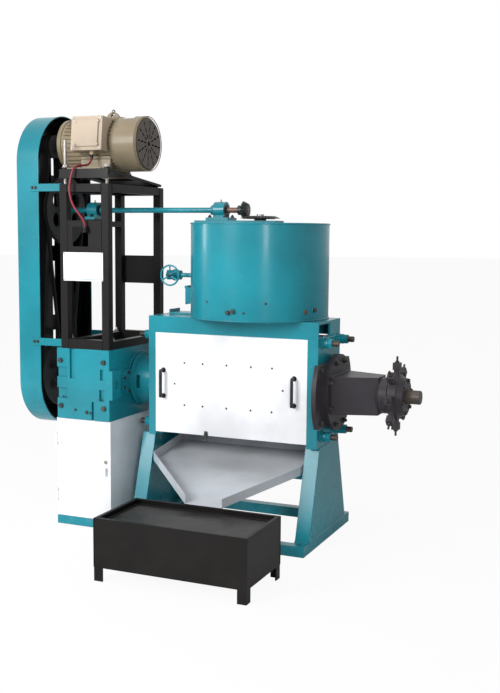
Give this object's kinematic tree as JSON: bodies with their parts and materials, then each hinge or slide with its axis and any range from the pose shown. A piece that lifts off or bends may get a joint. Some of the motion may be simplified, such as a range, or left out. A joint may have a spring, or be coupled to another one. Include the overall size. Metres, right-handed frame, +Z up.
{
  "type": "screw oil press",
  "caption": "Screw oil press: steam kettle over a caged worm, reduction gearbox, belt-driven motor on a stand, choke at the discharge end, oil tray and catch box.",
  "frame": {"origin": "on the floor at the centre of the foundation bolt rectangle, under the worm axis", "axes": "+X along the worm axis towards the cake discharge, +Y to the rear away from the oil tray, +Z up"},
  "size_m": [2.06, 1.3439, 2.1085],
  "materials": {
    "teal_paint": "gloss",
    "bare_steel": "satin",
    "dark_steel": "satin",
    "grey_iron": "matt",
    "black_casting": "matt",
    "white_sheet": "gloss",
    "grey_sheet": "satin",
    "black_paint": "satin",
    "motor_paint": "satin",
    "terminal_paint": "satin",
    "belt_rubber": "matt",
    "cable_jacket": "satin",
    "handle_plastic": "satin"
  },
  "bodies": {
    "press": {"base_frame": "teal_paint", "left_leg": "teal_paint", "right_leg": "teal_paint", "left_end_plate": "teal_paint", "right_end_plate": "teal_paint", "top_beam": "teal_paint", "tie_rods": "bare_steel", "tie_rod_nuts": "teal_paint", "thrust_housing": "teal_paint", "discharge_housing": "black_casting", "hex_bolts": "dark_steel", "cage_upper": "grey_iron", "cage_lower": "grey_iron", "cage_bolts": "bare_steel", "drainage_bars": "bare_steel", "feed_throat": "teal_paint", "oil_tray": "grey_sheet", "tray_rails": "teal_paint", "gearbox_pedestal": "white_sheet", "gearbox_lower_case": "teal_paint", "gearbox_upper_case": "teal_paint", "bearing_caps": "teal_paint", "shaft_bearings": "bare_steel", "motor_stand": "black_paint", "belt_guard": "teal_paint", "pillow_blocks": "teal_paint", "kettle_bridge": "teal_paint", "kettle": "teal_paint", "steam_valve": "teal_paint", "sample_box": "teal_paint", "tension_screws": "bare_steel", "motor_cable": "cable_jacket", "main_belts": "belt_rubber", "line_belt": "belt_rubber"},
    "cover": {"front_cover": "white_sheet", "cover_handles": "handle_plastic"},
    "main_shaft": {"worm_shaft": "bare_steel", "worm_segments": "bare_steel", "output_gear": "bare_steel"},
    "intermediate_shaft": {"layshaft": "bare_steel"},
    "drive_shaft": {"input_shaft": "bare_steel", "input_pulley": "grey_iron"},
    "motor": {"motor_base": "black_paint", "motor_frame": "motor_paint", "terminal_box": "terminal_paint", "fan_cowl": "motor_paint"},
    "rotor": {"motor_rotor": "bare_steel", "motor_pulley": "grey_iron"},
    "overhead_shaft": {"line_shaft": "teal_paint", "line_pulley": "grey_iron", "bevel_pinion": "grey_iron"},
    "kettle_stirrer": {"crown_gear": "grey_iron", "stirrer": "bare_steel"},
    "choke": {"choke_sleeve": "bare_steel"},
    "spider": {"adjusting_spider": "black_casting"},
    "handwheel": {"valve_handwheel": "teal_paint"},
    "gate": {"feed_gate": "teal_paint"},
    "flap": {"sample_flap": "teal_paint"},
    "door": {"pedestal_door": "white_sheet"},
    "oil_box": {"catch_box": "black_paint"}
  },
  "joints": [
    {"name": "input_spin", "type": "hinge", "parent": "press", "child": "drive_shaft", "pos_m": [-0.9, 0, 0.735], "axis": [1, 0, 0], "continuous": true},
    {"name": "layshaft_spin", "type": "hinge", "parent": "press", "child": "intermediate_shaft", "pos_m": [-0.72, -0.15, 0.735], "axis": [1, 0, 0], "continuous": true},
    {"name": "worm_spin", "type": "hinge", "parent": "press", "child": "main_shaft", "pos_m": [0, 0, 0.735], "axis": [1, 0, 0], "continuous": true},
    {"name": "line_spin", "type": "hinge", "parent": "press", "child": "overhead_shaft", "pos_m": [-0.5, 0, 1.608], "axis": [1, 0, 0], "continuous": true, "deforming": ["line_belt"]},
    {"name": "stirrer_spin", "type": "hinge", "parent": "press", "child": "kettle_stirrer", "pos_m": [0.1025, 0, 1.3], "axis": [0, 0, 1], "continuous": true},
    {"name": "motor_tilt", "type": "hinge", "parent": "press", "child": "motor", "pos_m": [-0.706, 0.233, 1.741], "axis": [-1, 0, 0], "range_deg": [-1, 1], "deforming": ["main_belts", "motor_cable"]},
    {"name": "rotor_spin", "type": "hinge", "parent": "motor", "child": "rotor", "pos_m": [-0.8, -0.04022, 1.94063], "axis": [1, 0, 0], "continuous": true},
    {"name": "spider_turn", "type": "hinge", "parent": "press", "child": "spider", "pos_m": [0.8095, 0, 0.735], "axis": [1, 0, 0], "range_deg": [0, 360]},
    {"name": "choke_slide", "type": "slide", "parent": "press", "child": "choke", "axis": [-1, 0, 0], "range_m": [0, 0.0121]},
    {"name": "valve_turn", "type": "hinge", "parent": "press", "child": "handwheel", "pos_m": [-0.364, -0.066, 1.28], "axis": [0, -1, 0], "range_deg": [0, 720]},
    {"name": "gate_slide", "type": "slide", "parent": "press", "child": "gate", "axis": [-1, 0, 0], "range_m": [0, 0.096]},
    {"name": "flap_hinge", "type": "hinge", "parent": "press", "child": "flap", "pos_m": [-0.2895, 0, 1.224], "axis": [0, 1, 0], "range_deg": [0, 100]},
    {"name": "door_hinge", "type": "hinge", "parent": "press", "child": "door", "pos_m": [-0.8769, -0.33, 0.3], "axis": [0, 0, -1], "range_deg": [0, 110]},
    {"name": "oil_box_slide", "type": "slide", "parent": "press", "child": "oil_box", "axis": [0, -1, 0], "range_m": [0, 0.4]},
    {"name": "cover_off", "type": "slide", "parent": "press", "child": "cover", "axis": [0, -1, 0], "range_m": [0, 0.2]}
  ],
  "couplings": [
    {"joint": "rotor_spin", "follows": "input_spin", "ratio": 3},
    {"joint": "layshaft_spin", "follows": "input_spin", "ratio": -0.25},
    {"joint": "worm_spin", "follows": "input_spin", "ratio": 0.0625},
    {"joint": "line_spin", "follows": "input_spin", "ratio": 0.25},
    {"joint": "stirrer_spin", "follows": "input_spin", "ratio": -0.11111},
    {"joint": "choke_slide", "follows": "spider_turn", "m_per_rad": 0.0019099}
  ]
}
